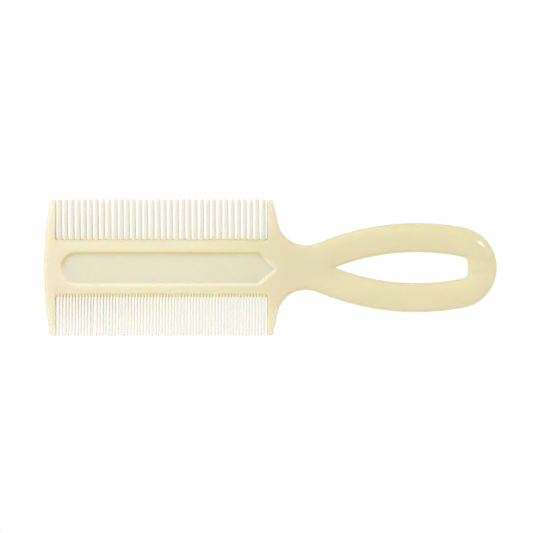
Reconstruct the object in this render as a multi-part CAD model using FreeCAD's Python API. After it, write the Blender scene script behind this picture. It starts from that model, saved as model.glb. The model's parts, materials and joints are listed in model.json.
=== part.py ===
import FreeCAD, Part
import math
import os

os.makedirs("parts", exist_ok=True)

# A two-sided grooming comb with a loop handle. It is a single moulding, divided here
# into its working sections, which meet face to face.
# X runs from the front guard to the end of the loop, Y across the comb (coarse teeth
# towards +Y, fine teeth towards -Y) and Z through its thickness. It lies on Z = 0.
# Sizes are in millimetres.

# Lengths along the comb, from the front guard to the end of the loop
front_guard_width = 4.8        # on the comb's middle line
tooth_run = 82.8               # between the inner faces of the two guards
neck_setback = 15.1            # rear guard's inner face to the narrowest point of the neck
handle_length = 75.3           # narrowest point of the neck to the end of the loop

# Head
body_thickness = 5.0
head_width = 53.8              # over the tips of both rows
land_width = 14.4              # flat strip along the middle of the bar, with the pocket in it
guard_shortfall = 0.2          # each guard ends this far below the tooth tips
guard_tip_thickness = 2.6
guard_rim_radius = 0.6
front_bow_radius = 148.0       # outer edge of the front guard, seen from above
coarse_corner_radius = 1.2     # guards' corners on the coarse side
fine_corner_radius = 0.7       # guards' corners on the fine side
rear_tip_width = 2.2
rear_guard_reach = 5.4         # rear guard's inner face to where the shoulder starts

# Pocket sunk into each face of the bar, square ahead and pointed behind
pocket_depth = 1.25
pocket_width = 13.4
pocket_wall_run = 1.2          # how far the sloping wall runs in
pocket_corner_radius = 5.0
pocket_front_land = 1.5        # front guard's inner face to the pocket
pocket_point_reach = 4.3       # rear guard's inner face to the pocket's point
pocket_point_length = 7.6      # from the end of the straight sides to the point

# Teeth
coarse_count = 34
coarse_root_width = 1.6
coarse_tip_width = 1.4
coarse_tip_thickness = 1.3
coarse_slot_floor = 11.3       # from the middle line
coarse_end_gap = 0.55          # between the end teeth and the guards
fine_count = 67
fine_root_width = 0.7
fine_tip_width = 0.6
fine_tip_thickness = 1.0
fine_slot_floor = 11.6
fine_end_gap = 0.6
slot_slope_run = 1.8           # the slot floors slope back up the bar over this run
slot_ridge_thickness = 0.6     # of the ridge that the slopes leave at a slot floor
root_thickness = 4.1           # of teeth and bar where those slopes begin

# Neck and loop handle
neck_width = 17.6              # at its narrowest
shoulder_radius = 11.0         # hollow curve from the rear guard to the neck
flare_radius = 14.4            # hollow curve from the neck to the arms
handle_width = 35.0            # over the crests of the two arms
crest_setback = 31.5           # end of the loop to the arms' crests
arm_width = 11.4
bow_width = 11.4
opening_corner_radius = 2.3    # where the opening meets the bow
fork_radius = 0.5              # where the arms part
handle_rim_radius = 2.2

# Places that follow from the sizes above
overall_length = front_guard_width + tooth_run + neck_setback + handle_length
front_x = -overall_length / 2
front_face_x = front_x + front_guard_width
rear_face_x = front_face_x + tooth_run
shoulder_x = rear_face_x + rear_guard_reach
neck_x = rear_face_x + neck_setback
end_x = overall_length / 2
crest_x = end_x - crest_setback
tip_y = head_width / 2
guard_y = tip_y - guard_shortfall
mid_z = body_thickness / 2
handle_rim = min(handle_rim_radius, 0.46 * body_thickness)

# The arm's outer edge is an arc that is level at the crest and tangent to the flare.
flare_y = neck_width / 2 + flare_radius
flare_drop = flare_y - handle_width / 2
arm_radius = (flare_radius**2 - (crest_x - neck_x)**2 - flare_drop**2) / (2 * (flare_drop - flare_radius))
arm_centre_y = handle_width / 2 - arm_radius

# The loop's end is an arc tangent to both arms' outer edges and to the end plane.
end_radius = (crest_setback**2 + arm_centre_y**2 - arm_radius**2) / (2 * (crest_setback - arm_radius))

# The arms' inner edges cross on the middle line, and the fork is rounded there.
inner_radius = arm_radius - arm_width
fork_run = math.sqrt(inner_radius**2 - arm_centre_y**2)
fork_half_angle = math.asin(fork_run / inner_radius)
fork_x = crest_x - fork_run + fork_radius / math.sin(fork_half_angle) - fork_radius
bow_x = end_x - bow_width - opening_corner_radius


def point(x, y, z=0.0):
    return FreeCAD.Vector(x, y, z)


def line(start, end):
    return Part.LineSegment(start, end).toShape()


def arc(start, middle, end):
    return Part.Arc(start, middle, end).toShape()


def on_circle(centre, radius, towards):
    # the point of the circle that lies on the way from its centre to another point
    way = towards - centre
    return centre + way * (radius / way.Length)


def arc_between(centre, radius, start, end):
    # the shorter arc of a circle between two of its points
    return arc(start, on_circle(centre, radius, (start + end) * 0.5), end)


def prism(edges, along):
    return Part.Face(Part.Wire(Part.__sortEdges__(edges))).extrude(along)


def polygon_prism(corners, along):
    return Part.Face(Part.makePolygon(corners + corners[:1])).extrude(along)


def mirrored(edges):
    return [edge.mirror(point(0, 0), point(0, 1)) for edge in edges]


def slab(x_from, x_to, y_from, y_to):
    # a block through the whole thickness, for dividing the moulding
    low = point(x_from, y_from)
    return Part.makeBox(x_to - x_from, y_to - y_from, body_thickness, low)


def upright_edges(solid, x_at=None):
    found = []
    for edge in solid.Edges:
        box = edge.BoundBox
        if box.ZLength > 0.5 * body_thickness and box.XLength + box.YLength < 1e-6:
            if x_at is None or abs(box.Center.x - x_at) < 1e-3:
                found.append(edge)
    return found


def rim_edges(solid, joint_planes):
    # edges of the two faces, but not where the piece meets its neighbours or along the bar's land
    found = []
    for edge in solid.Edges:
        box = edge.BoundBox
        at_joint = any(box.XLength < 1e-6 and abs(box.Center.x - x) < 1e-6 for x in joint_planes)
        on_land = box.YLength < 1e-6 and abs(box.Center.y) < land_width / 2 + 1e-3
        on_face = abs(box.Center.z - mid_z) > 0.25 * guard_tip_thickness
        if on_face and not at_joint and not on_land:
            found.append(edge)
    return found


def single(shape):
    # the one solid of a boolean's result
    solids = shape.removeSplitter().Solids
    if len(solids) != 1:
        raise RuntimeError("a piece fell apart")
    return solids[0]


# Head

def guard_thickness_block(x_from, x_to):
    # thick over the middle of the comb, thinner towards both rows of tips
    flat = land_width / 2
    tip = guard_tip_thickness / 2
    corners = [
        point(x_from, -tip_y, mid_z - tip),
        point(x_from, -flat, 0),
        point(x_from, flat, 0),
        point(x_from, tip_y, mid_z - tip),
        point(x_from, tip_y, mid_z + tip),
        point(x_from, flat, body_thickness),
        point(x_from, -flat, body_thickness),
        point(x_from, -tip_y, mid_z + tip),
    ]
    return polygon_prism(corners, point(x_to - x_from, 0))


def pocket_outline(inset, z):
    # the pocket's edge, or the same shape moved in by the run of its wall
    front = front_face_x + pocket_front_land + inset
    half = pocket_width / 2 - inset
    radius = pocket_corner_radius - inset
    slope = math.atan2(pocket_width / 2, pocket_point_length)
    tip = rear_face_x + pocket_point_reach - inset / math.sin(slope)
    straight_end = tip - half / math.tan(slope)
    diagonal = radius * math.sqrt(0.5)
    centre_x = front + radius
    centre_y = half - radius
    upper = [
        line(point(front, 0, z), point(front, centre_y, z)),
        arc(
            point(front, centre_y, z),
            point(centre_x - diagonal, centre_y + diagonal, z),
            point(centre_x, half, z),
        ),
        line(point(centre_x, half, z), point(straight_end, half, z)),
        line(point(straight_end, half, z), point(tip, 0, z)),
    ]
    return Part.Wire(Part.__sortEdges__(upper + mirrored(upper)))


def pockets():
    top = Part.makeLoft(
        [pocket_outline(0, body_thickness), pocket_outline(pocket_wall_run, body_thickness - pocket_depth)],
        True,
        True,
    )
    bottom = top.mirror(point(0, 0, mid_z), point(0, 0, 1))
    return top, bottom


def bar_profile():
    # the bar's section: on each side the flat land, a long slope, then the ridge at a slot floor
    flat = land_width / 2
    root = root_thickness / 2
    ridge = slot_ridge_thickness / 2
    return [
        (flat, mid_z),
        (coarse_slot_floor - slot_slope_run, root),
        (coarse_slot_floor, ridge),
        (coarse_slot_floor, -ridge),
        (coarse_slot_floor - slot_slope_run, -root),
        (flat, -mid_z),
        (-flat, -mid_z),
        (slot_slope_run - fine_slot_floor, -root),
        (-fine_slot_floor, -ridge),
        (-fine_slot_floor, ridge),
        (slot_slope_run - fine_slot_floor, root),
        (-flat, mid_z),
    ]


def spine_bar():
    corners = [point(front_face_x, y, mid_z + z) for y, z in bar_profile()]
    bar = polygon_prism(corners, point(tooth_run, 0))
    for pocket in pockets():
        bar = bar.cut(pocket)
    return single(bar)


def rounded_guard(plan, joint_planes, x_from, x_to):
    # corners seen from above first, then the thickness, then the rims
    guard = plan
    for radius, side in ((coarse_corner_radius, 1), (fine_corner_radius, -1)):
        corners = [e for e in upright_edges(guard) if side * e.BoundBox.Center.y > guard_y - 0.1]
        guard = guard.makeFillet(radius, corners)
    guard = single(guard.common(guard_thickness_block(x_from, x_to)))
    return guard.makeFillet(guard_rim_radius, rim_edges(guard, joint_planes))


def front_guard():
    centre = point(front_x + front_bow_radius, 0)
    outer_x = centre.x - math.sqrt(front_bow_radius**2 - guard_y**2)
    edges = [
        line(point(front_face_x, -guard_y), point(front_face_x, guard_y)),
        line(point(front_face_x, guard_y), point(outer_x, guard_y)),
        arc(point(outer_x, guard_y), point(front_x, 0), point(outer_x, -guard_y)),
        line(point(outer_x, -guard_y), point(front_face_x, -guard_y)),
    ]
    plan = prism(edges, point(0, 0, body_thickness))
    return rounded_guard(plan, [front_face_x], front_x, front_face_x)


def shoulder_tangent(corner):
    # where a straight edge from the rear guard's tip corner runs into the shoulder's curve
    centre = point(neck_x, neck_width / 2 + shoulder_radius)
    away = corner - centre
    reach = math.acos(shoulder_radius / away.Length)
    angle = math.atan2(away.y, away.x) + reach
    return centre + point(math.cos(angle), math.sin(angle)) * shoulder_radius


def shoulder_y(x):
    # half-width of the comb on the shoulder's curve
    return neck_width / 2 + shoulder_radius - math.sqrt(shoulder_radius**2 - (neck_x - x)**2)


def rear_guard():
    corner = point(rear_face_x + rear_tip_width, guard_y)
    centre = point(neck_x, neck_width / 2 + shoulder_radius)
    tangent = shoulder_tangent(corner)
    foot = point(shoulder_x, shoulder_y(shoulder_x))
    upper = [
        line(point(rear_face_x, 0), point(rear_face_x, guard_y)),
        line(point(rear_face_x, guard_y), corner),
        line(corner, tangent),
        arc_between(centre, shoulder_radius, tangent, foot),
        line(foot, point(shoulder_x, 0)),
    ]
    plan = prism(upper + mirrored(upper), point(0, 0, body_thickness))
    guard = rounded_guard(plan, [rear_face_x, shoulder_x], rear_face_x, shoulder_x)
    for pocket in pockets():
        guard = guard.cut(pocket)
    return single(guard)


def shoulder():
    # a quarter, whose rim grows from the handle's radius to the guard's, and its mirror images
    centre = point(neck_x, neck_width / 2 + shoulder_radius)
    start = point(shoulder_x, shoulder_y(shoulder_x))
    end = point(neck_x, neck_width / 2)
    edges = [
        line(point(shoulder_x, 0), start),
        arc_between(centre, shoulder_radius, start, end),
        line(end, point(neck_x, 0)),
        line(point(neck_x, 0), point(shoulder_x, 0)),
    ]
    plan = prism(edges, point(0, 0, body_thickness))
    quarter = plan.common(guard_thickness_block(shoulder_x, neck_x))
    quarter = single(quarter.cut(Part.makeBox(overall_length, tip_y, mid_z, point(front_x, 0))))
    quarter = quarter.makeFillet(handle_rim, guard_rim_radius, rim_edges(quarter, [shoulder_x, neck_x]))
    half = quarter.fuse(quarter.mirror(point(0, 0), point(0, 1)))
    return single(half.fuse(half.mirror(point(0, 0, mid_z), point(0, 0, 1))))


# Handle

def handle_outline():
    flare_centre = point(neck_x, flare_y)
    arm_centre = point(crest_x, arm_centre_y)
    end_centre = point(end_x - end_radius, 0)
    flare_end = on_circle(flare_centre, flare_radius, arm_centre)
    arm_end = arm_centre + (end_centre - arm_centre) * (arm_radius / (end_centre - arm_centre).Length)
    crest = point(crest_x, handle_width / 2)
    upper = [
        line(point(neck_x, 0), point(neck_x, neck_width / 2)),
        arc_between(flare_centre, flare_radius, point(neck_x, neck_width / 2), flare_end),
        arc(flare_end, crest, arm_end),
        arc_between(end_centre, end_radius, arm_end, point(end_x, 0)),
    ]
    return upper + mirrored(upper)


def loop_opening():
    # between the arms' inner edges, cut off square by the bow
    discs = []
    for side in (1, -1):
        disc = Part.makeCylinder(inner_radius, body_thickness, point(crest_x, side * arm_centre_y))
        discs.append(disc)
    opening = discs[0].common(discs[1])
    wall_x = end_x - bow_width
    opening = single(opening.cut(slab(wall_x, end_x + inner_radius, -handle_width, handle_width)))
    opening = opening.makeFillet(opening_corner_radius, upright_edges(opening, wall_x))
    return opening.makeFillet(fork_radius, upright_edges(opening, crest_x - fork_run))


def loop_handle():
    plate = prism(handle_outline(), point(0, 0, body_thickness))
    plate = single(plate.cut(loop_opening()))
    return plate.makeFillet(handle_rim, rim_edges(plate, [neck_x]))


def neck(loop):
    return single(loop.common(slab(neck_x, fork_x, -handle_width, handle_width)))


def handle_arm(loop, side):
    if side > 0:
        return single(loop.common(slab(fork_x, bow_x, 0, handle_width)))
    return single(loop.common(slab(fork_x, bow_x, -handle_width, 0)))


def handle_bow(loop):
    return single(loop.common(slab(bow_x, end_x, -handle_width, handle_width)))


# Teeth

def tooth(root_width, tip_width, tip_thickness, slot_floor):
    # a wedge that straddles the bar's ridge, flush with the bar where the slots begin
    start = slot_floor - slot_slope_run
    root = root_thickness / 2
    ridge = slot_ridge_thickness / 2
    tip = tip_thickness / 2
    side = [
        (start, root),
        (tip_y, tip),
        (tip_y, -tip),
        (start, -root),
        (slot_floor, -ridge),
        (slot_floor, ridge),
    ]
    corners = [point(-root_width / 2, y, mid_z + z) for y, z in side]
    wedge = polygon_prism(corners, point(root_width, 0))
    round_y = tip_y - tip_width / 2
    edges = [
        line(point(-root_width / 2, start), point(root_width / 2, start)),
        line(point(root_width / 2, start), point(tip_width / 2, round_y)),
        arc(point(tip_width / 2, round_y), point(0, tip_y), point(-tip_width / 2, round_y)),
        line(point(-tip_width / 2, round_y), point(-root_width / 2, start)),
    ]
    plan = prism(edges, point(0, 0, body_thickness))
    return single(wedge.common(plan))


def tooth_row(pattern, count, end_gap, root_width):
    # evenly spaced between the guards
    first = front_face_x + end_gap + root_width / 2
    last = rear_face_x - end_gap - root_width / 2
    pitch = (last - first) / (count - 1)
    row = []
    for index in range(count):
        copy = pattern.copy()
        copy.translate(point(first + index * pitch, 0))
        row.append(copy)
    return Part.makeCompound(row)


def coarse_teeth():
    pattern = tooth(coarse_root_width, coarse_tip_width, coarse_tip_thickness, coarse_slot_floor)
    return tooth_row(pattern, coarse_count, coarse_end_gap, coarse_root_width)


def fine_teeth():
    pattern = tooth(fine_root_width, fine_tip_width, fine_tip_thickness, fine_slot_floor)
    pattern = single(pattern.mirror(point(0, 0), point(0, 1)))
    return tooth_row(pattern, fine_count, fine_end_gap, fine_root_width)


loop = loop_handle()
nodes = {
    "spine_bar": spine_bar(),
    "front_guard": front_guard(),
    "rear_guard": rear_guard(),
    "shoulder": shoulder(),
    "neck": neck(loop),
    "handle_arm_coarse_side": handle_arm(loop, 1),
    "handle_arm_fine_side": handle_arm(loop, -1),
    "handle_bow": handle_bow(loop),
    "coarse_teeth": coarse_teeth(),
    "fine_teeth": fine_teeth(),
}
for name, shape in nodes.items():
    print(name, len(shape.Solids), "solids, valid", shape.isValid(), "volume", round(shape.Volume, 1))
    shape.exportStep("parts/" + name + ".step")
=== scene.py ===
import json
import math

import bpy
import numpy as np
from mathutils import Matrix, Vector
from mathutils.geometry import delaunay_2d_cdt

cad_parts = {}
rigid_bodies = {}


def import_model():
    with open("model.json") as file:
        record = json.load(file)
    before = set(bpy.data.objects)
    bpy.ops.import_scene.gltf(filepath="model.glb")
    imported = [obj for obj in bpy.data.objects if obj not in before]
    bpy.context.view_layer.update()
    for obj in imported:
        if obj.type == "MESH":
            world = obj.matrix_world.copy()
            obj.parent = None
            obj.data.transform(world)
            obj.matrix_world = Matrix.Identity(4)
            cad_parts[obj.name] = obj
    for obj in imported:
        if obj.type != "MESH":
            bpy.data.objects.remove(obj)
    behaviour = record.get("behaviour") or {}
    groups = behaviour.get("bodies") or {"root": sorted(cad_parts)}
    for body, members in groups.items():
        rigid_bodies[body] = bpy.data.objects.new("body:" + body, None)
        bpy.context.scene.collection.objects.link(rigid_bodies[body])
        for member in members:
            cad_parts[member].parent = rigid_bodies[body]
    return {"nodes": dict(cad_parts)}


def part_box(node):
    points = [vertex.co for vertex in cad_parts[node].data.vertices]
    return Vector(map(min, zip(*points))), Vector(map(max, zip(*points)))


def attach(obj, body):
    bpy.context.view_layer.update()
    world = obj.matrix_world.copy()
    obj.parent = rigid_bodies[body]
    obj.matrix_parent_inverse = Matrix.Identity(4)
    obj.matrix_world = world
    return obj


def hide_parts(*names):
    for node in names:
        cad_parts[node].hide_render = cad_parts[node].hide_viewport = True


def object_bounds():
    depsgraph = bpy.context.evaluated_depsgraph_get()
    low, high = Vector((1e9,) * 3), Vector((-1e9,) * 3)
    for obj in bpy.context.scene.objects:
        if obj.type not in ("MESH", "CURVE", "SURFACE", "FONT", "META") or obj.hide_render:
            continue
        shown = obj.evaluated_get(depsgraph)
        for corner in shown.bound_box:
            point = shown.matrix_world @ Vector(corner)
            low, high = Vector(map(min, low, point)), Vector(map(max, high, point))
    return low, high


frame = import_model()
cadLow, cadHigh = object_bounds()
print("frame loaded:", len(frame["nodes"]), "sections of the moulding")

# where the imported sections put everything, in metres
place = {
    "front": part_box("front_guard")[0].x,
    "frontFace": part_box("spine_bar")[0].x,
    "rearFace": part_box("spine_bar")[1].x,
    "coarseFloor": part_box("spine_bar")[1].y,
    "fineFloor": -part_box("spine_bar")[0].y,
    "guardTip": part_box("front_guard")[1].y,
    "toothTip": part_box("coarse_teeth")[1].y,
    "neck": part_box("neck")[0].x,
    "bow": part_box("handle_bow")[0].x,
    "end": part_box("handle_bow")[1].x,
    "crestY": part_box("handle_arm_coarse_side")[1].y,
    "middle": (cadLow.z + cadHigh.z) / 2,
}
halfThick = (cadHigh.z - cadLow.z) / 2


class Wire:
    def __init__(self, maker, socket):
        self.maker = maker
        self.socket = socket

    def __add__(self, other):
        return self.maker.maths("ADD", self, other)

    def __radd__(self, other):
        return self.maker.maths("ADD", other, self)

    def __sub__(self, other):
        return self.maker.maths("SUBTRACT", self, other)

    def __rsub__(self, other):
        return self.maker.maths("SUBTRACT", other, self)

    def __mul__(self, other):
        return self.maker.maths("MULTIPLY", self, other)

    def __rmul__(self, other):
        return self.maker.maths("MULTIPLY", other, self)

    def __truediv__(self, other):
        return self.maker.maths("DIVIDE", self, other)

    def __rtruediv__(self, other):
        return self.maker.maths("DIVIDE", other, self)

    def __pow__(self, other):
        return self.maker.maths("POWER", self, other)

    def __abs__(self):
        return self.maker.maths("ABSOLUTE", self)


class TreeMaker:
    def __init__(self, tree):
        self.tree = tree

    def feed(self, socket, value):
        if isinstance(value, Wire):
            value = value.socket
        if isinstance(value, bpy.types.NodeSocket):
            self.tree.links.new(value, socket)
        else:
            socket.default_value = value

    def node(self, kind, settings=None, sockets=None):
        made = self.tree.nodes.new(kind)
        for name, value in (settings or {}).items():
            if name == "stops":
                fillRamp(made.color_ramp, value)
            else:
                setattr(made, name, value)
        for key, value in (sockets or {}).items():
            self.feed(made.inputs[key], value)
        return made

    def out(self, kind, settings=None, sockets=None, output=0):
        return Wire(self, self.node(kind, settings, sockets).outputs[output])

    def maths(self, operation, *values):
        return self.out("ShaderNodeMath", {"operation": operation}, dict(enumerate(values)))

    def smooth(self, value, low, high):
        # 0 below low, 1 above high, and an S-curve between
        sockets = {"Value": value, "From Min": low, "From Max": high}
        return self.out("ShaderNodeMapRange", {"interpolation_type": "SMOOTHSTEP"}, sockets)


def fillRamp(ramp, stops):
    while len(ramp.elements) < len(stops):
        ramp.elements.new(1.0)
    for element, (at, colour) in zip(ramp.elements, stops):
        element.position = at
        element.color = colour


def newRule(name, values):
    # a geometry tree with a named input for each value, and a maker for it
    kinds = {int: "NodeSocketInt", float: "NodeSocketFloat", bpy.types.Material: "NodeSocketMaterial"}
    tree = bpy.data.node_groups.new(name, "GeometryNodeTree")
    tree.interface.new_socket("Geometry", in_out="INPUT", socket_type="NodeSocketGeometry")
    for label, value in values.items():
        tree.interface.new_socket(label, in_out="INPUT", socket_type=kinds[type(value)])
    tree.interface.new_socket("Geometry", in_out="OUTPUT", socket_type="NodeSocketGeometry")
    maker = TreeMaker(tree)
    given = maker.node("NodeGroupInput").outputs
    return tree, maker, {label: Wire(maker, given[label]) for label in ["Geometry", *values]}


def runRule(piece, tree, values):
    # runs the tree on a piece, and leaves it a plain mesh
    modifier = piece.modifiers.new(tree.name, "NODES")
    modifier.node_group = tree
    for item in tree.interface.items_tree:
        if item.in_out == "INPUT" and item.name in values:
            modifier[item.identifier] = values[item.name]
    graph = bpy.context.evaluated_depsgraph_get()
    ready = piece.evaluated_get(graph)
    mesh = bpy.data.meshes.new_from_object(ready, preserve_all_data_layers=True, depsgraph=graph)
    piece.modifiers.remove(modifier)
    piece.data = mesh
    mesh.name = piece.name
    return piece


ivory = {
    "paintedLightDrift": (                                # painted light: colour from the front guard to the end of the loop, paler at the front
        (0.00, (0.735, 0.69, 0.52, 1.0)),
        (0.06, (0.73, 0.69, 0.52, 1.0)),
        (0.30, (0.72, 0.69, 0.52, 1.0)),
        (0.37, (0.71, 0.675, 0.48, 1.0)),
        (0.43, (0.69, 0.665, 0.45, 1.0)),
        (0.53, (0.67, 0.635, 0.425, 1.0)),
        (0.75, (0.675, 0.645, 0.42, 1.0)),
        (1.00, (0.675, 0.645, 0.42, 1.0)),
    ),
    "paintedBacklitWeb": (0.64, 0.66, 0.545, 1.0),       # painted light: floor of the pocket, paler where the wall is thin and light from below shines through it
    "webMix": 0.5,
    "paintedWallShade": (0.70, 0.61, 0.28, 1.0),    # painted shade: upper wall of the pocket, which faces away from the light
    "wallShadeMix": 0.9,
    "wallBand": ((-0.0007, 0.0002), (0.0006, 0.0012)),    # where it comes in and goes, into the pocket
    "sillColour": (0.84, 0.82, 0.70, 1.0),    # its lower wall, which the light fills
    "sillMix": 0.7,
    "sillBand": ((0.0, 0.0005), (0.0009, 0.0017)),
    "fullTurn": 0.0052,                       # where the upper wall's painted shade is at its strongest
    "notchColour": (0.98, 0.81, 0.41, 1.0),   # light that gathers between the roots
    "notchMix": 0.9,
    "paintedTipLight": (0.79, 0.76, 0.64, 1.0),     # painted light: paler where the moulding thins out and light from below shines through
    "tipMix": 0.35,
    "tipFrom": 0.0105,
    "tipTo": 0.0220,
    "tipEnd": 0.012,                          # along the comb, only the head has pale tips
    "cloudColour": (0.79, 0.68, 0.49, 1.0),
    "cloudSize": 45.0,
    "cloudDetail": 3.0,
    "cloudBand": (0.45, 0.75),
    "cloudStrength": 0.15,
    "skinSize": 1400.0,
    "skinDetail": 2.0,
    "skinDepth": 0.00002,
    "skinStrength": 0.5,
    "refraction": 1.5,
    "roughness": 0.20,
    "roughnessSpread": 0.06,
    "scatter": 0.9,
    "scatterRadius": (1.0, 0.5, 0.15),
    "scatterScale": 0.006,
}

# the teeth are too thin for light to travel as far in them
coarseIvory = dict(
    ivory,
    # the teeth take a stronger painted light, paler where light shines through them
    paintedTipLight=(0.725, 0.71, 0.605, 1.0),
    tipMix=0.9,
    tipTo=0.0150,
    roughness=0.30,
    scatterRadius=(1.0, 0.8, 0.5),
    scatterScale=0.0008,
)
# the fine teeth are painted paler still, as more light shines through them
fineIvory = dict(coarseIvory, paintedTipLight=(0.79, 0.78, 0.70, 1.0), tipFrom=0.0090, tipTo=0.0125)


def mixColours(maker, factor, first, second):
    sockets = {"Factor": factor, 6: first, 7: second}
    return maker.out("ShaderNodeMix", {"data_type": "RGBA"}, sockets, output=2)


def storedValue(maker, name):
    # a value that a rule left on the piece
    return maker.out("ShaderNodeAttribute", {"attribute_name": name}, output=2)


def band(maker, value, limits):
    # rises between the first two limits and falls between the last two
    rise, fall = limits
    return maker.smooth(value, *rise) * (1.0 - maker.smooth(value, *fall))


def noise(maker, spot, size, detail):
    return maker.out("ShaderNodeTexNoise", sockets={"Vector": spot, "Scale": size, "Detail": detail})


def mouldedPlastic(name, look):
    material = bpy.data.materials.new(name)
    material.use_nodes = True
    material.node_tree.nodes.clear()
    maker = TreeMaker(material.node_tree)
    spot = maker.out("ShaderNodeTexCoord", output=3)
    along = maker.out("ShaderNodeSeparateXYZ", sockets={0: spot})

    # painted light: the colour drifts along the comb, paler at the front where light fills the translucent
    # plastic, with faint clouds from the flow of the plastic
    share = (along - place["front"]) / (place["end"] - place["front"])
    base = maker.out("ShaderNodeValToRGB", {"stops": look["paintedLightDrift"]}, {0: share})
    clouds = noise(maker, spot, look["cloudSize"], look["cloudDetail"])
    cloudShare = maker.smooth(clouds, *look["cloudBand"]) * look["cloudStrength"]
    base = mixColours(maker, cloudShare, base, look["cloudColour"])

    # painted light: paler towards the tips of guards and teeth, where light from below shines through the
    # thin plastic
    across = abs(maker.out("ShaderNodeSeparateXYZ", sockets={0: spot}, output=1))
    tipLightShare = maker.smooth(across, look["tipFrom"], look["tipTo"]) * look["tipMix"]
    onHead = 1.0 - maker.smooth(along, 0.0, look["tipEnd"])
    base = mixColours(maker, tipLightShare * onHead, base, look["paintedTipLight"])

    # painted light and shade in the pocket: its thin floor is painted paler as if lit from below, its
    # upper walls get painted shade and its lower ones catch painted light
    web = storedValue(maker, "webShare")
    base = mixColours(maker, web * look["webMix"], base, look["paintedBacklitWeb"])
    # painted shade on the walls that face away from the light, painted light on the others
    turned = maker.smooth(storedValue(maker, "wallTurn"), 0.0, look["fullTurn"])
    gap = storedValue(maker, "pocketDistance")
    wall = band(maker, gap, look["wallBand"])
    base = mixColours(maker, wall * turned * look["wallShadeMix"], base, look["paintedWallShade"])
    sill = band(maker, gap, look["sillBand"])
    base = mixColours(maker, sill * (1.0 - turned) * look["sillMix"], base, look["sillColour"])
    notch = storedValue(maker, "notchShare")
    base = mixColours(maker, notch * look["notchMix"], base, look["notchColour"])

    skin = noise(maker, spot, look["skinSize"], look["skinDetail"])
    rough = clouds * look["roughnessSpread"] + (look["roughness"] - look["roughnessSpread"] / 2)
    bump = maker.out("ShaderNodeBump", sockets={
        "Distance": look["skinDepth"],
        "Strength": look["skinStrength"],
        "Height": skin,
    })

    shader = maker.node(
        "ShaderNodeBsdfPrincipled",
        {"subsurface_method": "RANDOM_WALK"},
        {
            "Base Color": base,
            "Roughness": rough,
            "Normal": bump,
            "IOR": look["refraction"],
            "Subsurface Weight": look["scatter"],
            "Subsurface Radius": look["scatterRadius"],
            "Subsurface Scale": look["scatterScale"],
        },
    )
    maker.node("ShaderNodeOutputMaterial", sockets={"Surface": shader.outputs[0]})
    return material


bodyPlastic = mouldedPlastic("mouldedIvory", ivory)
coarsePlastic = mouldedPlastic("coarseToothIvory", coarseIvory)
finePlastic = mouldedPlastic("fineToothIvory", fineIvory)
print("ivory plastic made")


comb = {
    "frontBow": 0.148,             # radius of the front guard's outer edge
    "rearTipWidth": 0.0022,
    "coarseCorner": 0.00135,
    "fineCorner": 0.0007,
    "innerCorner": 0.82,           # a guard tip's corner on the slot side, as a share of the outer one
    "bowStop": 2.2,                # how many corners short of the tip the bowed edge ends
    "slotCorner": 0.0003,
    "neckWidth": 0.0176,
    "shoulder": 0.011,
    "flare": 0.0144,
    "armWidth": 0.0114,
    "bowWidth": 0.0114,
    "openingCorner": 0.0023,
    "fork": 0.0002,
    "crestSetback": 0.0315,        # from the end of the loop back to the widest part of its arms
    "step": 0.0006,                # spacing of points along the edges
    "arcTurn": 0.17,               # widest angle between points on an arc
    "frontRim": 0.0016,            # width of the rounded edges
    "frontRimEnd": 0.0012,         # it ends this far in front of the first slot
    "guardRim": 0.0008,
    "slotRim": 0.00025,
    "handleRim": 0.0057,           # the loop is crowned right across its arms
    "widestRow": 0.0031,
    "grid": 0.0009,
}

# how near is near enough, for the flat mesh
closeness = {
    "same": 1e-9,
    "face": 1e-6,
    "floor": 1e-5,
    "nudge": 1e-5,
    "weld": 2e-6,
    "merge": 3e-6,
    "clear": 0.97,                 # share of its reach that a row's point must stay clear of other edges
    "gridGap": 0.0002,
}


def spaced(start, end, step):
    # points along a straight run, without its last one
    start, end = np.array(start, float), np.array(end, float)
    count = max(1, round(np.linalg.norm(end - start) / step))
    return [start + (end - start) * i / count for i in range(count)]


def arcPoints(centre, radius, fromAngle, toAngle, step):
    # points along an arc, without its last one
    turn = toAngle - fromAngle
    count = max(4, round(abs(turn) * radius / step), round(abs(turn) / comb["arcTurn"]))
    angles = [fromAngle + turn * i / count for i in range(count)]
    return [np.array([centre[0] + radius * math.cos(a), centre[1] + radius * math.sin(a)]) for a in angles]


def angleOf(centre, spot):
    return math.atan2(spot[1] - centre[1], spot[0] - centre[0])


def rounded(corners, radii, step):
    # a closed polygon with its corners rounded and its sides divided
    corners = [np.array(c, float) for c in corners]
    runs = []
    for i, corner in enumerate(corners):
        before = corners[i - 1] - corner
        after = corners[(i + 1) % len(corners)] - corner
        before, after = before / np.linalg.norm(before), after / np.linalg.norm(after)
        half = math.acos(max(-1.0, min(1.0, float(before @ after)))) / 2
        reach = radii[i] / math.tan(half) if radii[i] else 0.0
        runs.append((corner + before * reach, corner + after * reach, corner, half, radii[i]))
    points = []
    for i, (enter, leave, corner, half, radius) in enumerate(runs):
        if radius:
            middle = (enter + leave) / 2 - corner
            centre = corner + middle / np.linalg.norm(middle) * (radius / math.sin(half))
            first, last = angleOf(centre, enter), angleOf(centre, leave)
            turn = (last - first + math.pi) % (2 * math.pi) - math.pi
            points += arcPoints(centre, radius, first, first + turn, step)
        points += spaced(leave, runs[(i + 1) % len(runs)][0], step)
    return points


def armCircle():
    # the arms' outer edge is level at the crest and tangent to the flare from the neck
    crestX = place["end"] - comb["crestSetback"]
    drop = comb["neckWidth"] / 2 + comb["flare"] - place["crestY"]
    run = crestX - place["neck"]
    radius = (comb["flare"] ** 2 - run ** 2 - drop ** 2) / (2 * (drop - comb["flare"]))
    return np.array([crestX, place["crestY"] - radius]), radius


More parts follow.
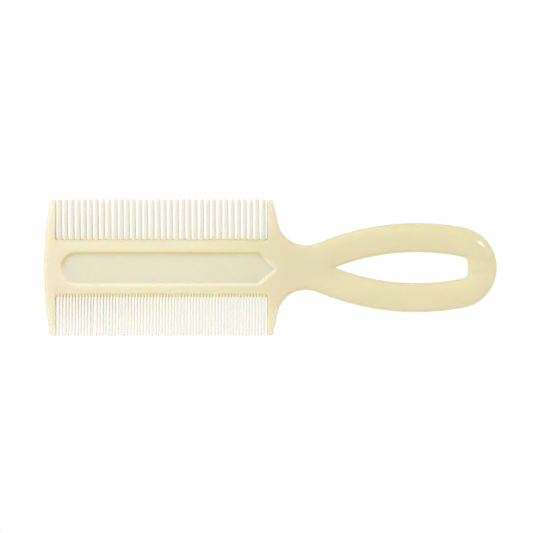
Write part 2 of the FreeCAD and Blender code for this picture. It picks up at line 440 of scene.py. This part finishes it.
def handleSide():
    # upper edge from the neck's narrowest point to the end of the loop
    step = comb["step"]
    centre, radius = armCircle()
    flareCentre = np.array([place["neck"], comb["neckWidth"] / 2 + comb["flare"]])
    setback, drop = comb["crestSetback"], centre[1]
    endRadius = (setback ** 2 + drop ** 2 - radius ** 2) / (2 * (setback - radius))
    endCentre = np.array([place["end"] - endRadius, 0.0])
    toArm = angleOf(flareCentre, centre)
    points = arcPoints(flareCentre, comb["flare"], -math.pi / 2, toArm, step)
    atFlare, atEnd = angleOf(centre, flareCentre), angleOf(centre, endCentre)
    points += arcPoints(centre, radius, atFlare, atEnd, step)
    points += arcPoints(endCentre, endRadius, atEnd, 0.0, step)
    return points


def headSide(corner, floor):
    # upper edge from the front of the comb to the neck's narrowest point
    step = comb["step"]
    tip = place["guardTip"]
    bow = comb["frontBow"]
    bowCentre = np.array([place["front"] + bow, 0.0])
    tipX = bowCentre[0] - math.sqrt(bow ** 2 - tip ** 2)
    bowStop = math.pi - math.asin((tip - comb["bowStop"] * corner) / bow)
    points = arcPoints(bowCentre, bow, math.pi, bowStop, step)

    shoulderCentre = np.array([place["neck"], comb["neckWidth"] / 2 + comb["shoulder"]])
    outer = np.array([place["rearFace"] + comb["rearTipWidth"], tip])
    away = outer - shoulderCentre
    touch = math.atan2(away[1], away[0]) + math.acos(comb["shoulder"] / np.linalg.norm(away))
    tangent = shoulderCentre + comb["shoulder"] * np.array([math.cos(touch), math.sin(touch)])
    start = bowCentre + bow * np.array([math.cos(bowStop), math.sin(bowStop)])
    path = [
        start,
        (tipX, tip),
        (place["frontFace"], tip),
        (place["frontFace"], floor),
        (place["rearFace"], floor),
        (place["rearFace"], tip),
        outer,
        tangent,
    ]
    inner = comb["innerCorner"] * corner
    radii = [0.0, corner, inner, comb["slotCorner"], comb["slotCorner"], inner, corner, 0.0]
    closed = rounded(path, radii, step)
    last = max(i for i, p in enumerate(closed) if np.linalg.norm(p - tangent) < closeness["same"])
    points += closed[:last]
    points += arcPoints(shoulderCentre, comb["shoulder"], touch, 1.5 * math.pi, step)
    return points


def bodyOutline():
    coarse = headSide(comb["coarseCorner"], place["coarseFloor"]) + handleSide()
    fine = headSide(comb["fineCorner"], place["fineFloor"]) + handleSide()
    end = [np.array([place["end"], 0.0])]
    back = [p * (1, -1) for p in reversed(fine[1:])]
    return np.array(coarse + end + back)


def openingOutline():
    # between the arms' inner edges, with a square inner wall at the bow
    step = comb["step"]
    centre, radius = armCircle()
    inner = radius - comb["armWidth"]
    wallX = place["end"] - comb["bowWidth"]
    corner, fork = comb["openingCorner"], comb["fork"]
    # rounded corner: its circle touches the wall and the inner arc
    cornerX = wallX - corner
    cornerY = centre[1] + math.sqrt((inner - corner) ** 2 - (cornerX - centre[0]) ** 2)
    cornerSpot = np.array([cornerX, cornerY])
    forkSpot = np.array([centre[0] - math.sqrt((inner - fork) ** 2 - centre[1] ** 2), 0.0])
    upper = arcPoints(forkSpot, fork, math.pi, angleOf(centre, forkSpot), step)
    upper += arcPoints(centre, inner, angleOf(centre, forkSpot), angleOf(centre, cornerSpot), step)
    upper += arcPoints(cornerSpot, corner, angleOf(centre, cornerSpot), 0.0, step)
    upper += spaced((wallX, cornerY), (wallX, 0.0), step)
    back = [p * (1, -1) for p in reversed(upper[1:])]
    return np.array(upper + [np.array([wallX, 0.0])] + back)


def rimWidths(points):
    # how far in the rounding of each edge point reaches
    widths = []
    growth = place["neck"] - place["rearFace"]
    for x, y in points:
        share = min(1.0, max(0.0, (x - place["rearFace"] - comb["rearTipWidth"]) / growth))
        width = comb["guardRim"] + (comb["handleRim"] - comb["guardRim"]) * share
        floor = place["coarseFloor"] if y > 0 else place["fineFloor"]
        inRun = place["frontFace"] - closeness["face"] < x < place["rearFace"] + closeness["face"]
        if inRun and abs(y) < floor + closeness["floor"]:
            width = comb["slotRim"]
        elif x < place["frontFace"] - comb["frontRimEnd"]:
            width = comb["frontRim"]
        widths.append(width)
    return np.array(widths)


pocket = {
    "width": 0.0134,
    "middleY": -0.0004,
    "depth": 0.00125,
    "frontLand": 0.0018,
    "pointReach": 0.0048,
    "pointLength": 0.0079,
    "frontCorner": 0.0062,
    "sideCorner": 0.0030,
    "pointCorner": 0.0016,
    "wall": 0.0012,
    "turnAlong": -0.45,            # how the walls' painted shade and painted light turn with their place in the pocket
    "turnAcross": 0.81,
    "gridFrom": 0.0007,            # the plain grid keeps this far off the wall, outside and inside
    "gridWithin": 0.0018,
    "rows": (-0.0005, -0.0002, 0.0, 0.0002, 0.0004, 0.0006, 0.0008, 0.0010, 0.0013, 0.0017),
}


def pocketOutline():
    front = place["frontFace"] + pocket["frontLand"]
    middle, half = pocket["middleY"], pocket["width"] / 2
    point = place["rearFace"] + pocket["pointReach"]
    straight = point - pocket["pointLength"]
    upper, lower = middle + half, middle - half
    corners = [(front, upper), (straight, upper), (point, middle), (straight, lower), (front, lower)]
    radii = [pocket["frontCorner"], pocket["sideCorner"], pocket["pointCorner"],
             pocket["sideCorner"], pocket["frontCorner"]]
    return np.array(rounded(corners, radii, comb["step"]))


def wallTurn(points):
    # how far the pocket's wall lies towards the upper left of its middle line; there the walls face away
    # from the light and get painted shade
    front = place["frontFace"] + pocket["frontLand"] + pocket["frontCorner"]
    straight = place["rearFace"] + pocket["pointReach"] - pocket["pointLength"]
    along = np.minimum(points[:, 0] - front, 0) + np.maximum(points[:, 0] - straight, 0)
    return pocket["turnAlong"] * along + pocket["turnAcross"] * (points[:, 1] - pocket["middleY"])


def nearest(points, outline, widths=None):
    # least distance from each point to a closed outline, as a share of the widths where they are given
    starts, ends = outline, np.roll(outline, -1, axis=0)
    runs = ends - starts
    lengths = np.maximum((runs ** 2).sum(1), 1e-18)
    found = []
    # in blocks, to spare memory
    for block in np.array_split(points, max(1, len(points) // 400)):
        away = block[:, None, :] - starts[None]
        share = np.clip((away * runs[None]).sum(2) / lengths[None], 0, 1)
        gaps = np.linalg.norm(away - share[..., None] * runs[None], axis=2)
        if widths is not None:
            gaps = gaps / (widths[None] + share * (np.roll(widths, -1) - widths)[None])
        found.append(gaps.min(1))
    return np.concatenate(found)


def within(points, outline):
    # which points lie inside a closed outline
    inside = np.zeros(len(points), bool)
    x, y = points[:, 0], points[:, 1]
    for (ax, ay), (bx, by) in zip(outline, np.roll(outline, -1, axis=0)):
        crosses = (ay > y) != (by > y)
        if crosses.any():
            at = ax + (y - ay) * (bx - ax) / (by - ay if by != ay else 1e-12)
            inside ^= crosses & (x < at)
    return inside


def inwardNormals(outline, intoMaterial):
    # directions into the plastic: inside the comb's outline, but outside the opening's
    runs = np.roll(outline, -1, axis=0) - np.roll(outline, 1, axis=0)
    normals = np.stack([runs[:, 1], -runs[:, 0]], 1)
    normals /= np.linalg.norm(normals, axis=1)[:, None]
    nudged = outline + normals * closeness["nudge"]
    wrong = within(nudged, outline) != intoMaterial
    return np.where(wrong[:, None], -normals, normals)


class Plan:
    # rows of points and the edges that join them, for one flat mesh
    def __init__(self):
        self.points = []
        self.edges = []

    def addRow(self, row, keep=None, closed=True):
        first = len(self.points)
        self.points += [tuple(p) for p in row]
        for i in range(len(row) if closed else len(row) - 1):
            j = (i + 1) % len(row)
            if keep is None or (keep[i] and keep[j]):
                self.edges.append((first + i, first + j))


bar = {
    "land": 0.0072,                # half the flat strip along the middle
    "rootRun": 0.0018,             # from where the teeth start out of the long slope to the slot floors
    "rootHalf": 0.00205,           # half-thickness there
    "coarseFall": 0.09,            # how steeply the bar drops between the roots
    "fineFall": 0.34,
    "coarseLip": 0.0005,           # rounded end of each slot floor
    "fineLip": 0.0009,
    "ridgeHalf": 0.0009,
    "blend": 0.0003,               # how softly the land turns into the slope
    "lipBlend": 0.0004,
    "notchFrom": 0.0014,           # the gathered light starts this far inside the roots
    "notchTo": 0.0008,             # and is full this far inside the slot floors
    "coarseNotch": 0.4,            # its strength between the coarse teeth
    "onBar": 0.001,                # it stops where the guards begin to rise
    "guardTipHalf": 0.0013,
    "guardEdge": 0.0007,
    "coarseRows": (0.0003, 0.0005, 0.0008, 0.0014, 0.0020, 0.0027, 0.0040),
    "fineRows": (0.0003, 0.0008, 0.0013, 0.0018, 0.0021, 0.0028, 0.0043),
    "floorGap": 0.0003,            # rows beside the guards end this far inside the slot floors
    "rowStep": 0.0008,
    "guardRows": (0.0, 0.0001, 0.00025, 0.00045, 0.0007),
}

valley = {
    "neckBlend": 0.004,            # from the rear guard to where the neck starts to fill out
    "start": 0.0135,               # the arms' crowns run on past the fork, into the neck
    "end": 0.0255,
    "depth": 0.0008,
    "width": 0.0045,
    "narrow": 0.35,                # share of its width that it starts with
}

# what the mould leaves: round pin marks below, and a ridge where its halves meet
marks = {
    "parting": 0.00004,
    "diameter": 0.0036,
    "depth": 0.00015,
    "edge": 0.0003,
    "step": 0.0005,
    "rings": (0.0, 0.5, 1.0, 1.5),
    "spots": ((-0.070, 0.0), (-0.043, 0.0), (-0.016, 0.0)),
}

rimAngles = [math.radians(a) for a in (0, 7, 14, 22, 31, 41, 52, 64, 77, 90)]
roundness = 2.3                    # of the rims and tooth tips, where 2 is a circle


def addEdgeRows(plan, outer, outerRim, opening, openingRim):
    # rows that follow both edges inwards, crowded where the rims turn over
    for outline, rims, inside in ((outer, outerRim, True), (opening, openingRim, False)):
        normals = inwardNormals(outline, inside)
        for angle in rimAngles:
            reach = rims * (1 - math.cos(angle))
            row = outline + normals * reach[:, None]
            clear = np.minimum(nearest(row, outer), nearest(row, opening))
            free = clear > closeness["clear"] * reach - closeness["same"]
            plan.addRow(row, free & (reach < comb["widestRow"]))


def addPocketRows(plan, recess):
    normals = inwardNormals(recess, True)
    for reach in pocket["rows"]:
        row = recess + normals * reach
        plan.addRow(row, nearest(row, recess) > closeness["clear"] * abs(reach) - closeness["same"])


def addBarRows(plan):
    # rows along the guards' faces and along both slopes of the bar
    sides = ((1, place["coarseFloor"], bar["coarseRows"]), (-1, place["fineFloor"], bar["fineRows"]))
    for side, floor, rows in sides:
        for face, way in ((place["frontFace"], -1), (place["rearFace"], 1)):
            for reach in bar["guardRows"]:
                x = face + way * reach
                start, end = (x, side * bar["land"]), (x, side * (floor - bar["floorGap"]))
                plan.addRow(spaced(start, end, comb["step"]), closed=False)
        for reach in rows:
            y = side * (floor - reach)
            run = spaced((place["frontFace"], y), (place["rearFace"], y), bar["rowStep"])
            plan.addRow(run, closed=False)


def addMarkRows(plan):
    for x, y in marks["spots"]:
        for share in marks["rings"]:
            radius = marks["diameter"] / 2 + (share - 1.0) * marks["edge"]
            plan.addRow(arcPoints((x, y), radius, 0.0, 2 * math.pi, marks["step"]))


def addGrid(plan, outer, outerRim, opening, recess):
    # plain points wherever the rows leave room
    grid = np.array([
        (x, y)
        for x in np.arange(place["front"], place["end"], comb["grid"])
        for y in np.arange(-place["guardTip"], place["guardTip"], comb["grid"])
    ])
    widest, spare = comb["widestRow"], closeness["gridGap"]
    keep = within(grid, outer) & ~within(grid, opening)
    keep &= nearest(grid, outer, np.minimum(outerRim, widest) + spare) > 1.0
    keep &= nearest(grid, opening) > widest + spare
    gap = nearest(grid, recess)
    keep &= (gap > pocket["gridFrom"]) | (within(grid, recess) & (gap > pocket["gridWithin"]))
    plan.points += [tuple(p) for p in grid[keep]]


def joinedUp(plan, outer, opening):
    # the plan's points and edges as triangles, without those that lie outside the plastic
    spots = [Vector(p) for p in plan.points]
    made = delaunay_2d_cdt(spots, plan.edges, [], 0, closeness["weld"])
    points = np.array([tuple(v) for v in made[0]])
    triangles = np.array(made[2])
    centres = points[triangles].mean(1)
    triangles = triangles[within(centres, outer) & ~within(centres, opening)]
    used = np.unique(triangles)
    renumber = np.full(len(points), -1)
    renumber[used] = np.arange(len(used))
    return points[used], renumber[triangles]


def flatBody():
    # the comb seen from above as one flat mesh, with what the thickness rule needs to know
    outer = bodyOutline()
    opening = openingOutline()
    recess = pocketOutline()
    outerRim = rimWidths(outer)
    openingRim = np.full(len(opening), comb["handleRim"])
    plan = Plan()
    addEdgeRows(plan, outer, outerRim, opening, openingRim)
    addPocketRows(plan, recess)
    addBarRows(plan)
    addMarkRows(plan)
    addGrid(plan, outer, outerRim, opening, recess)
    points, triangles = joinedUp(plan, outer, opening)

    mesh = bpy.data.meshes.new("flatBody")
    mesh.from_pydata([(x, y, 0.0) for x, y in points], [], triangles.tolist())
    edge = np.minimum(nearest(points, outer), nearest(points, opening))
    edge[edge < closeness["weld"]] = 0.0
    share = np.minimum(nearest(points, outer, outerRim), nearest(points, opening, openingRim))
    share[edge == 0.0] = 0.0
    recessGap = nearest(points, recess)
    recessGap = np.where(within(points, recess), recessGap, -recessGap)
    fromMark = np.linalg.norm(points[:, None] - np.array(marks["spots"])[None], axis=2).min(1)
    known = {
        "edgeDistance": edge,
        "rimShare": share,
        "pocketDistance": recessGap,
        "wallTurn": wallTurn(points),
        "markDistance": fromMark,
    }
    for label, values in known.items():
        attribute = mesh.attributes.new(label, "FLOAT", "POINT")
        attribute.data.foreach_set("value", values.astype(np.float32))
    return mesh


def namedFloat(maker, name):
    sockets = {"Name": name}
    return maker.out("GeometryNodeInputNamedAttribute", {"data_type": "FLOAT"}, sockets)


def storeFloat(maker, geometry, name, value):
    settings = {"data_type": "FLOAT", "domain": "POINT"}
    sockets = {"Geometry": geometry, "Name": name, "Value": value}
    return maker.out("GeometryNodeStoreNamedAttribute", settings, sockets)


def clamped(maker, value):
    return maker.maths("MINIMUM", maker.maths("MAXIMUM", value, 0.0), 1.0)


def roundOver(maker, share):
    # a quarter of a rounded square: 0 at the edge, 1 once the share reaches 1
    left = 1.0 - maker.maths("MINIMUM", share, 1.0)
    return maker.maths("MAXIMUM", 1.0 - left ** roundness, 0.0) ** (1.0 / roundness)


def bodyRule(values):
    tree, maker, given = newRule("mouldedBodyRule", values)
    position = maker.out("GeometryNodeInputPosition")
    parts = maker.node("ShaderNodeSeparateXYZ", sockets={0: position})
    x, y = Wire(maker, parts.outputs[0]), Wire(maker, parts.outputs[1])
    across = abs(y)
    half, land = given["Half Thickness"], given["Land"]

    # bar: flat land, long slope to the roots, the drop between them, then the lip at the slot floor
    coarseSide = maker.maths("GREATER_THAN", y, 0.0)
    floor = given["Fine Floor"] + (given["Coarse Floor"] - given["Fine Floor"]) * coarseSide
    fall = given["Fine Fall"] + (given["Coarse Fall"] - given["Fine Fall"]) * coarseSide
    rootAt = floor - given["Root Run"]
    longSlope = half - (across - land) * ((half - given["Root Half"]) / (rootAt - land))
    dropSlope = given["Root Half"] - (across - rootAt) * fall
    lip = given["Fine Lip"] + (given["Coarse Lip"] - given["Fine Lip"]) * coarseSide
    atLip = given["Root Half"] - (given["Root Run"] - lip) * fall
    lipSlope = given["Ridge Half"] + (floor - across) * ((atLip - given["Ridge Half"]) / lip)
    barTop = maker.maths("SMOOTH_MIN", half, longSlope, bar["blend"])
    barTop = barTop + maker.maths("GREATER_THAN", across, rootAt) * (dropSlope - longSlope)
    barTop = maker.maths("SMOOTH_MIN", barTop, lipSlope, bar["lipBlend"])
    barTop = maker.maths("MAXIMUM", barTop, 0.0)

    # guards and shoulder: thinner towards the tips, with a rounded step down to the bar
    past = maker.maths("MAXIMUM", across - land, 0.0)
    guardTop = half - past * ((half - given["Guard Tip Half"]) / (given["Guard Tip"] - land))
    inGuard = maker.maths("MAXIMUM", given["Front Face"] - x, x - given["Rear Face"])
    inGuard = maker.maths("MAXIMUM", inGuard, 0.0) / given["Guard Edge"]
    top = barTop + (guardTop - barTop) * roundOver(maker, inGuard)

    # neck and loop: full thickness, with a shallow valley that runs into the fork
    inNeck = maker.smooth(x, given["Rear Face"] + valley["neckBlend"], given["Valley Start"])
    top = top + (half - top) * inNeck
    length = given["Valley End"] - given["Valley Start"]
    reach = clamped(maker, (x - given["Valley Start"]) / length)
    aside = across / (given["Valley Width"] * (valley["narrow"] + reach * (1.0 - valley["narrow"])))
    trough = 1.0 / (1.0 + aside * aside * aside * aside)
    top = top - given["Valley Depth"] * reach * reach * trough

    sunk = maker.smooth(namedFloat(maker, "pocketDistance"), 0.0, given["Pocket Wall"])
    top = top - sunk * given["Pocket Depth"]
    top = top * roundOver(maker, namedFloat(maker, "rimShare"))
    ridge = maker.maths("MINIMUM", namedFloat(maker, "edgeDistance"), given["Parting Height"])
    top = maker.maths("MAXIMUM", top, ridge)

    # the underside carries the round marks that the mould's pins leave
    pin = namedFloat(maker, "markDistance")
    onMark = 1.0 - maker.smooth(pin, given["Mark Radius"] - given["Mark Edge"], given["Mark Radius"])
    under = top - onMark * given["Mark Depth"]

    between = maker.smooth(across, rootAt - bar["notchFrom"], floor - bar["notchTo"])
    onBar = maker.maths("LESS_THAN", inGuard, bar["onBar"])
    notch = between * onBar * (1.0 - coarseSide * (1.0 - bar["coarseNotch"]))
    stored = storeFloat(maker, given["Geometry"], "webShare", sunk)
    stored = storeFloat(maker, stored, "notchShare", notch)
    upper = maker.out("GeometryNodeSetPosition", sockets={
        "Geometry": stored,
        "Offset": maker.out("ShaderNodeCombineXYZ", sockets={2: given["Middle"] + top}),
    })
    lower = maker.out("GeometryNodeSetPosition", sockets={
        "Geometry": stored,
        "Offset": maker.out("ShaderNodeCombineXYZ", sockets={2: given["Middle"] - under}),
    })
    lower = maker.out("GeometryNodeFlipFaces", sockets={"Mesh": lower})
    joined = maker.node("GeometryNodeJoinGeometry")
    maker.feed(joined.inputs[0], lower)
    maker.feed(joined.inputs[0], upper)
    merging = {"Geometry": joined.outputs[0], "Distance": closeness["merge"]}
    whole = maker.out("GeometryNodeMergeByDistance", sockets=merging)
    whole = maker.out("GeometryNodeSetShadeSmooth", sockets={0: whole})
    whole = maker.out("GeometryNodeRealizeInstances", sockets={"Geometry": whole})
    whole = maker.out("GeometryNodeSetMaterial", sockets={"Geometry": whole, "Material": given["Plastic"]})
    maker.node("NodeGroupOutput", sockets={0: whole})
    return tree


def mouldedBody():
    piece = bpy.data.objects.new("mouldedBody", flatBody())
    bpy.context.scene.collection.objects.link(piece)
    values = {
        "Half Thickness": halfThick,
        "Middle": place["middle"],
        "Land": bar["land"],
        "Front Face": place["frontFace"],
        "Rear Face": place["rearFace"],
        "Coarse Floor": place["coarseFloor"],
        "Fine Floor": place["fineFloor"],
        "Root Run": bar["rootRun"],
        "Root Half": bar["rootHalf"],
        "Coarse Fall": bar["coarseFall"],
        "Fine Fall": bar["fineFall"],
        "Coarse Lip": bar["coarseLip"],
        "Fine Lip": bar["fineLip"],
        "Ridge Half": bar["ridgeHalf"],
        "Guard Tip": place["guardTip"],
        "Guard Tip Half": bar["guardTipHalf"],
        "Guard Edge": bar["guardEdge"],
        "Valley Start": valley["start"],
        "Valley End": valley["end"],
        "Valley Depth": valley["depth"],
        "Valley Width": valley["width"],
        "Pocket Depth": pocket["depth"],
        "Pocket Wall": pocket["wall"],
        "Mark Radius": marks["diameter"] / 2,
        "Mark Edge": marks["edge"],
        "Mark Depth": marks["depth"],
        "Parting Height": marks["parting"],
        "Plastic": bodyPlastic,
    }
    return runRule(piece, bodyRule(values), values)


body = mouldedBody()
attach(body, "root")
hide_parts("spine_bar", "front_guard", "rear_guard", "shoulder", "neck",
            "handle_arm_coarse_side", "handle_arm_fine_side", "handle_bow")
print("moulded body:", len(body.data.polygons), "faces")


coarse = {
    "count": 34,
    "endGap": 0.00055,
    "rootWidth": 0.0016,
    "tipWidth": 0.00148,
    "tipThickness": 0.0013,
    "tipRound": 0.0010,
    "flare": 0.00016,              # how much wider each side gets at the slot floor
    "sides": 12,
    "segments": 12,
    "spread": 0.00003,             # how uneven the row is
    "lean": 0.00007,
    "shortfall": 0.00008,
    "seed": 3,
    "oddTooth": 9,                 # one tooth that is bent
    "oddShift": 0.0,
    "oddLean": 0.00012,
}

fine = {
    "count": 67,
    "endGap": 0.0006,
    "rootWidth": 0.00082,
    "tipWidth": 0.00076,
    "tipThickness": 0.0010,
    "tipRound": 0.0005,
    "flare": 0.00010,
    "sides": 8,
    "segments": 11,
    "spread": 0.00002,
    "lean": 0.00008,
    "shortfall": 0.00012,
    "seed": 8,
    "oddTooth": 11,
    "oddShift": -0.00014,
    "oddLean": -0.00028,
}

tooth = {
    "sunk": 0.00006,               # how far the teeth's faces lie below the bar's where they meet
    "flareReach": 0.0007,
    "squareness": 0.45,
    "closed": 0.004,               # how nearly the tip closes, before its last ring is filled
    "closing": 0.43,               # about one over the roundness
    "tintReach": 4.0,              # how many flares up the sides the gathered light goes
    "tintSide": (0.6, 0.95),
}


def toothRule(values):
    tree, maker, given = newRule("toothRowRule", values)
    tube = maker.out(
        "GeometryNodeMeshCylinder",
        {"fill_type": "NGON"},
        {"Vertices": given["Sides"], "Side Segments": given["Segments"], "Radius": 1.0, "Depth": 1.0},
    )
    position = maker.out("GeometryNodeInputPosition")
    parts = maker.node("ShaderNodeSeparateXYZ", sockets={0: position})
    sideX, sideY, up = [Wire(maker, parts.outputs[i]) for i in range(3)]

    # rings crowd towards the root and the tip, where the tooth flares and rounds over
    even = up + 0.5
    share = even * even * even * (even * (even * 6.0 - 15.0) + 10.0)
    length = given["Tip"] - given["Root"]
    pastRound = maker.maths("MAXIMUM", share * length - (length - given["Tip Round"]), 0.0)
    left = 1.0 - (pastRound / given["Tip Round"]) ** roundness
    closing = maker.maths("MAXIMUM", left, tooth["closed"]) ** tooth["closing"]
    aboveFloor = share * length - (given["Floor"] - given["Root"])
    near = 1.0 - clamped(maker, aboveFloor / given["Flare Reach"])
    width = given["Root Width"] + (given["Tip Width"] - given["Root Width"]) * share
    halfWidth = width * 0.5 * closing + given["Flare"] * near * near
    thickness = given["Root Thickness"] + (given["Tip Thickness"] - given["Root Thickness"]) * share
    halfDeep = thickness * 0.5 * closing
    wide = maker.maths("SIGN", sideX) * abs(sideX) ** given["Squareness"] * halfWidth
    deep = maker.maths("SIGN", sideY) * abs(sideY) ** given["Squareness"] * halfDeep
    shaped = maker.out("ShaderNodeCombineXYZ", sockets={
        0: wide,
        1: share * length * given["Way"],
        2: deep * given["Way"] * -1.0,
    })
    nearRoot = 1.0 - maker.smooth(aboveFloor, 0.0, given["Flare Reach"] * tooth["tintReach"])
    onSide = maker.smooth(abs(sideX), *tooth["tintSide"])
    tube = storeFloat(maker, tube, "notchShare", onSide * nearRoot)
    tube = maker.out("GeometryNodeSetPosition", sockets={"Geometry": tube, "Position": shaped})
    tube = maker.out("GeometryNodeSetShadeSmooth", sockets={0: tube})

    # a slightly uneven row of points, with one tooth at each
    index = maker.out("GeometryNodeInputIndex")

    def drawn(offset):
        # an even random number from -1 to 1 for each tooth
        sockets = {2: -1.0, 3: 1.0, "ID": index, "Seed": given["Seed"] + offset}
        return maker.out("FunctionNodeRandomValue", {"data_type": "FLOAT"}, sockets, output=1)

    startSockets = {0: given["First"], 1: given["Root"] * given["Way"], 2: given["Middle"]}
    start = maker.out("ShaderNodeCombineXYZ", sockets=startSockets)
    stride = maker.out("ShaderNodeCombineXYZ", sockets={0: given["Pitch"]})
    row = maker.out("GeometryNodeMeshLine", sockets={
        "Count": given["Count"],
        "Start Location": start,
        "Offset": stride,
    })
    odd = maker.maths("COMPARE", index, given["Odd Tooth"], 0.5)
    aside = drawn(10) * given["Spread"] + odd * given["Odd Shift"]
    offset = maker.out("ShaderNodeCombineXYZ", sockets={0: aside})
    row = maker.out("GeometryNodeSetPosition", sockets={"Geometry": row, "Offset": offset})
    leaning = drawn(0) * given["Lean"] + odd * given["Odd Lean"]
    turn = maker.out("ShaderNodeCombineXYZ", sockets={2: leaning * given["Way"] / length * -1.0})
    short = (drawn(20) + 1.0) * 0.5 * given["Shortfall"] / length
    scale = maker.out("ShaderNodeCombineXYZ", sockets={0: 1.0, 1: 1.0 - short, 2: 1.0})
    row = maker.out(
        "GeometryNodeInstanceOnPoints",
        sockets={"Points": row, "Instance": tube, "Rotation": turn, "Scale": scale},
    )
    row = maker.out("GeometryNodeRealizeInstances", sockets={"Geometry": row})
    row = maker.out("GeometryNodeSetMaterial", sockets={"Geometry": row, "Material": given["Plastic"]})
    maker.node("NodeGroupOutput", sockets={0: row})
    return tree


def rowValues(sizes, floor, way, plastic):
    first = place["frontFace"] + sizes["endGap"] + sizes["rootWidth"] / 2
    last = place["rearFace"] - sizes["endGap"] - sizes["rootWidth"] / 2
    return {
        "Count": sizes["count"],
        "First": first,
        "Pitch": (last - first) / (sizes["count"] - 1),
        "Middle": place["middle"],
        "Root": floor - bar["rootRun"],
        "Floor": floor,
        "Tip": place["toothTip"],
        "Way": way,
        "Sides": sizes["sides"],
        "Segments": sizes["segments"],
        "Root Width": sizes["rootWidth"],
        "Tip Width": sizes["tipWidth"],
        "Root Thickness": 2 * (bar["rootHalf"] - tooth["sunk"]),
        "Tip Thickness": sizes["tipThickness"],
        "Tip Round": sizes["tipRound"],
        "Flare": sizes["flare"],
        "Flare Reach": tooth["flareReach"],
        "Squareness": tooth["squareness"],
        "Spread": sizes["spread"],
        "Lean": sizes["lean"],
        "Shortfall": sizes["shortfall"],
        "Seed": sizes["seed"],
        "Odd Tooth": sizes["oddTooth"],
        "Odd Shift": sizes["oddShift"],
        "Odd Lean": sizes["oddLean"],
        "Plastic": plastic,
    }


def toothRow(name, rule, values):
    piece = bpy.data.objects.new(name, bpy.data.meshes.new(name))
    bpy.context.scene.collection.objects.link(piece)
    return runRule(piece, rule, values)


coarseValues = rowValues(coarse, place["coarseFloor"], 1.0, coarsePlastic)
fineValues = rowValues(fine, place["fineFloor"], -1.0, finePlastic)
rowRule = toothRule(coarseValues)
coarseRow = toothRow("coarseTeeth", rowRule, coarseValues)
fineRow = toothRow("fineTeeth", rowRule, fineValues)
for row, node in ((coarseRow, "coarse_teeth"), (fineRow, "fine_teeth")):
    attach(row, "root")
    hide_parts(node)
    print(row.name + ":", len(row.data.polygons), "faces")


studio = {
    "floorSize": 6.0,
    "floorDrop": 0.00005,          # just clear of the comb's underside
    "floorGlow": 1.0,
    "floorBounce": 0.55,
    "worldGlow": 1.03,
    "keyPlace": (-0.55, 0.75, 0.90),
    "keySize": 1.5,
    "keyPower": 4.0,
    "sidePlace": (-0.90, 0.20, 0.45),
    "sideSize": 0.5,
    "sidePower": 0.8,
    "glintPlace": (0.1706, 0.0686, 0.174),
    "glintSpot": (0.0833, 0.0093, 0.004),
    "glintSize": 0.003,
    "glintCone": 1.3,              # degrees
    "glintPower": 0.50,
    "eye": (-0.00157, 0.00043),    # where the camera looks straight down
    "eyeHeight": 0.70,
    "viewWidth": 0.2097,
    "sensor": 36.0,                # millimetres
    "bounces": 10,                 # light bounces on and on between the pale teeth
}


def whiteFloor():
    half = studio["floorSize"] / 2
    mesh = bpy.data.meshes.new("floor")
    corners = [(-half, -half, 0), (half, -half, 0), (half, half, 0), (-half, half, 0)]
    mesh.from_pydata(corners, [], [(0, 1, 2, 3)])
    floor = bpy.data.objects.new("floor", mesh)
    bpy.context.scene.collection.objects.link(floor)
    floor.location.z = cadLow.z - studio["floorDrop"]
    material = bpy.data.materials.new("litWhiteFloor")
    material.use_nodes = True
    material.node_tree.nodes.clear()
    maker = TreeMaker(material.node_tree)
    # pure white to the eye, but it gives the comb only as much light as pale paper would
    path = maker.node("ShaderNodeLightPath").outputs
    seen = maker.maths("MAXIMUM", path["Is Camera Ray"], path["Is Glossy Ray"])
    strength = studio["floorBounce"] + seen * (studio["floorGlow"] - studio["floorBounce"])
    glow = maker.node("ShaderNodeEmission", sockets={"Color": (1, 1, 1, 1), "Strength": strength})
    maker.node("ShaderNodeOutputMaterial", sockets={"Surface": glow.outputs[0]})
    mesh.materials.append(material)


def hang(lamp, spot, target=(0.0, 0.0, 0.0)):
    # hangs a lamp at a place and turns it to its target
    holder = bpy.data.objects.new(lamp.name, lamp)
    bpy.context.scene.collection.objects.link(holder)
    holder.location = spot
    holder.rotation_euler = (Vector(target) - Vector(spot)).to_track_quat("-Z", "Y").to_euler()
    return holder


def softLight(name, spot, size, power):
    lamp = bpy.data.lights.new(name, "AREA")
    lamp.size = size
    lamp.energy = power
    hang(lamp, spot)


def loopGlint():
    # a narrow lamp that leaves one bright spot on the far end of the loop
    lamp = bpy.data.lights.new("glintLight", "SPOT")
    lamp.spot_size = math.radians(studio["glintCone"])
    lamp.spot_blend = 1.0
    lamp.shadow_soft_size = studio["glintSize"]
    lamp.energy = studio["glintPower"]
    holder = hang(lamp, studio["glintPlace"], studio["glintSpot"])
    holder.visible_diffuse = False     # only its reflection shows
    holder.visible_camera = False


def cameraAbove():
    lens = bpy.data.cameras.new("eye")
    eye = bpy.data.objects.new("eye", lens)
    bpy.context.scene.collection.objects.link(eye)
    eye.location = (studio["eye"][0], studio["eye"][1], place["middle"] + studio["eyeHeight"])
    lens.sensor_width = studio["sensor"]
    lens.lens = lens.sensor_width * studio["eyeHeight"] / studio["viewWidth"]
    bpy.context.scene.camera = eye


world = bpy.data.worlds.new("softWhite")
world.use_nodes = True
world.node_tree.nodes["Background"].inputs["Color"].default_value = (1.0, 1.0, 1.0, 1.0)
world.node_tree.nodes["Background"].inputs["Strength"].default_value = studio["worldGlow"]
bpy.context.scene.world = world
bpy.context.scene.view_settings.view_transform = "Standard"
bpy.context.scene.cycles.diffuse_bounces = studio["bounces"]
whiteFloor()
softLight("keyLight", studio["keyPlace"], studio["keySize"], studio["keyPower"])
softLight("sideLight", studio["sidePlace"], studio["sideSize"], studio["sidePower"])
loopGlint()
cameraAbove()
print("studio ready")
